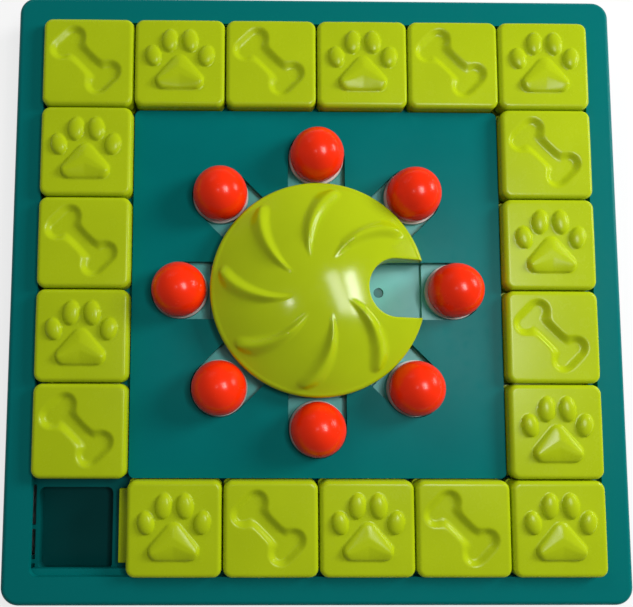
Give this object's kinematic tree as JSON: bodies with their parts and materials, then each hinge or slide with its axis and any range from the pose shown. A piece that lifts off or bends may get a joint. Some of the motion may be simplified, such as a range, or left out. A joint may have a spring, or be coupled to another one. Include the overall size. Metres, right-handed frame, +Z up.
{
  "type": "dog puzzle feeder toy",
  "caption": "Square treat puzzle board with sliding paw and bone tiles around a deck of radial knobs locked by a notched, domed turning wheel.",
  "frame": {"origin": "centre of the board, on the surface that its rubber feet stand on", "axes": "+X to the right and +Y to the far side as seen in the picture, with the free cell near the left; +Z up"},
  "size_m": [0.42, 0.42, 0.057],
  "materials": {
    "board_teal": "glossy moulded polypropylene",
    "deck_teal": "satin moulded polypropylene",
    "pale_teal": "satin moulded polypropylene",
    "wheel_lime": "glossy moulded plastic",
    "tile_lime": "glossy moulded plastic",
    "knob_orange": "glossy moulded plastic",
    "shoe_pale": "satin moulded plastic",
    "steel": "zinc-plated",
    "foot_rubber": "matt"
  },
  "bodies": {
    "root": {"base_tray": "board_teal", "center_deck": "deck_teal", "inner_tray": "pale_teal", "deck_screws": "steel", "rubber_feet": "foot_rubber"},
    "wheel": {"treat_wheel": "wheel_lime", "wheel_washer": "steel", "wheel_screw": "steel"},
    "slider_e": {"knob_e": "knob_orange", "knob_shoe_e": "shoe_pale", "knob_screw_e": "steel"},
    "slider_ne": {"knob_ne": "knob_orange", "knob_shoe_ne": "shoe_pale", "knob_screw_ne": "steel"},
    "slider_n": {"knob_n": "knob_orange", "knob_shoe_n": "shoe_pale", "knob_screw_n": "steel"},
    "slider_nw": {"knob_nw": "knob_orange", "knob_shoe_nw": "shoe_pale", "knob_screw_nw": "steel"},
    "slider_w": {"knob_w": "knob_orange", "knob_shoe_w": "shoe_pale", "knob_screw_w": "steel"},
    "slider_sw": {"knob_sw": "knob_orange", "knob_shoe_sw": "shoe_pale", "knob_screw_sw": "steel"},
    "slider_s": {"knob_s": "knob_orange", "knob_shoe_s": "shoe_pale", "knob_screw_s": "steel"},
    "slider_se": {"knob_se": "knob_orange", "knob_shoe_se": "shoe_pale", "knob_screw_se": "steel"},
    "top_1": {"tile_top_1": "tile_lime"},
    "top_2": {"tile_top_2": "tile_lime"},
    "top_3": {"tile_top_3": "tile_lime"},
    "top_4": {"tile_top_4": "tile_lime"},
    "top_5": {"tile_top_5": "tile_lime"},
    "top_6": {"tile_top_6": "tile_lime"},
    "left_5": {"tile_left_5": "tile_lime"},
    "right_5": {"tile_right_5": "tile_lime"},
    "left_4": {"tile_left_4": "tile_lime"},
    "right_4": {"tile_right_4": "tile_lime"},
    "left_3": {"tile_left_3": "tile_lime"},
    "right_3": {"tile_right_3": "tile_lime"},
    "left_2": {"tile_left_2": "tile_lime"},
    "right_2": {"tile_right_2": "tile_lime"},
    "bottom_2": {"tile_bottom_2": "tile_lime"},
    "bottom_3": {"tile_bottom_3": "tile_lime"},
    "bottom_4": {"tile_bottom_4": "tile_lime"},
    "bottom_5": {"tile_bottom_5": "tile_lime"},
    "bottom_6": {"tile_bottom_6": "tile_lime"}
  },
  "joints": [
    {"name": "wheel_spin", "type": "hinge", "parent": "root", "child": "wheel", "pos_m": [0, 0, 0.033], "axis": [0, 0, 1], "range_deg": [-360, 360]},
    {"name": "knob_e_slide", "type": "slide", "parent": "root", "child": "slider_e", "axis": [-1, 0, 0], "range_m": [0, 0.036]},
    {"name": "knob_ne_slide", "type": "slide", "parent": "root", "child": "slider_ne", "axis": [-0.7071, -0.7071, 0], "range_m": [0, 0.002]},
    {"name": "knob_n_slide", "type": "slide", "parent": "root", "child": "slider_n", "axis": [0, -1, 0], "range_m": [0, 0.002]},
    {"name": "knob_nw_slide", "type": "slide", "parent": "root", "child": "slider_nw", "axis": [0.7071, -0.7071, 0], "range_m": [0, 0.002]},
    {"name": "knob_w_slide", "type": "slide", "parent": "root", "child": "slider_w", "axis": [1, 0, 0], "range_m": [0, 0.002]},
    {"name": "knob_sw_slide", "type": "slide", "parent": "root", "child": "slider_sw", "axis": [0.7071, 0.7071, 0], "range_m": [0, 0.002]},
    {"name": "knob_s_slide", "type": "slide", "parent": "root", "child": "slider_s", "axis": [0, 1, 0], "range_m": [0, 0.002]},
    {"name": "knob_se_slide", "type": "slide", "parent": "root", "child": "slider_se", "axis": [-0.7071, 0.7071, 0], "range_m": [0, 0.002]},
    {"name": "bottom_2_slide", "type": "slide", "parent": "root", "child": "bottom_2", "axis": [-1, 0, 0], "range_m": [0, 0.06345]},
    {"name": "bottom_3_slide", "type": "slide", "parent": "root", "child": "bottom_3", "axis": [-1, 0, 0], "range_m": [0, 0.06345]},
    {"name": "bottom_4_slide", "type": "slide", "parent": "root", "child": "bottom_4", "axis": [-1, 0, 0], "range_m": [0, 0.06345]},
    {"name": "bottom_5_slide", "type": "slide", "parent": "root", "child": "bottom_5", "axis": [-1, 0, 0], "range_m": [0, 0.06345]},
    {"name": "bottom_6_slide", "type": "slide", "parent": "root", "child": "bottom_6", "axis": [-1, 0, 0], "range_m": [0, 0.06345]},
    {"name": "left_5_slide", "type": "slide", "parent": "root", "child": "left_5", "axis": [0, 1, 0], "range_m": [-0.06345, 0]},
    {"name": "left_4_slide", "type": "slide", "parent": "root", "child": "left_4", "axis": [0, 1, 0], "range_m": [-0.06345, 0]},
    {"name": "left_3_slide", "type": "slide", "parent": "root", "child": "left_3", "axis": [0, 1, 0], "range_m": [-0.06345, 0]},
    {"name": "left_2_slide", "type": "slide", "parent": "root", "child": "left_2", "axis": [0, 1, 0], "range_m": [-0.06345, 0]},
    {"name": "top_1_slide", "type": "slide", "parent": "root", "child": "top_1", "axis": [0, 1, 0], "range_m": [-0.06345, 0]},
    {"name": "top_2_slide", "type": "slide", "parent": "root", "child": "top_2", "axis": [1, 0, 0], "range_m": [-0.0003, 0.0003]},
    {"name": "top_3_slide", "type": "slide", "parent": "root", "child": "top_3", "axis": [1, 0, 0], "range_m": [-0.0003, 0.0003]},
    {"name": "top_4_slide", "type": "slide", "parent": "root", "child": "top_4", "axis": [1, 0, 0], "range_m": [-0.0003, 0.0003]},
    {"name": "top_5_slide", "type": "slide", "parent": "root", "child": "top_5", "axis": [1, 0, 0], "range_m": [-0.0003, 0.0003]},
    {"name": "top_6_slide", "type": "slide", "parent": "root", "child": "top_6", "axis": [1, 0, 0], "range_m": [-0.0003, 0.0003]},
    {"name": "right_2_slide", "type": "slide", "parent": "root", "child": "right_2", "axis": [0, 1, 0], "range_m": [-0.0003, 0.0003]},
    {"name": "right_3_slide", "type": "slide", "parent": "root", "child": "right_3", "axis": [0, 1, 0], "range_m": [-0.0003, 0.0003]},
    {"name": "right_4_slide", "type": "slide", "parent": "root", "child": "right_4", "axis": [0, 1, 0], "range_m": [-0.0003, 0.0003]},
    {"name": "right_5_slide", "type": "slide", "parent": "root", "child": "right_5", "axis": [0, 1, 0], "range_m": [-0.0003, 0.0003]}
  ],
  "couplings": [
    {"joint": "bottom_3_slide", "follows": "bottom_2_slide", "ratio": 1},
    {"joint": "bottom_4_slide", "follows": "bottom_2_slide", "ratio": 1},
    {"joint": "bottom_5_slide", "follows": "bottom_2_slide", "ratio": 1},
    {"joint": "bottom_6_slide", "follows": "bottom_2_slide", "ratio": 1},
    {"joint": "left_4_slide", "follows": "left_5_slide", "ratio": 1},
    {"joint": "left_3_slide", "follows": "left_5_slide", "ratio": 1},
    {"joint": "left_2_slide", "follows": "left_5_slide", "ratio": 1},
    {"joint": "top_1_slide", "follows": "left_5_slide", "ratio": 1}
  ]
}
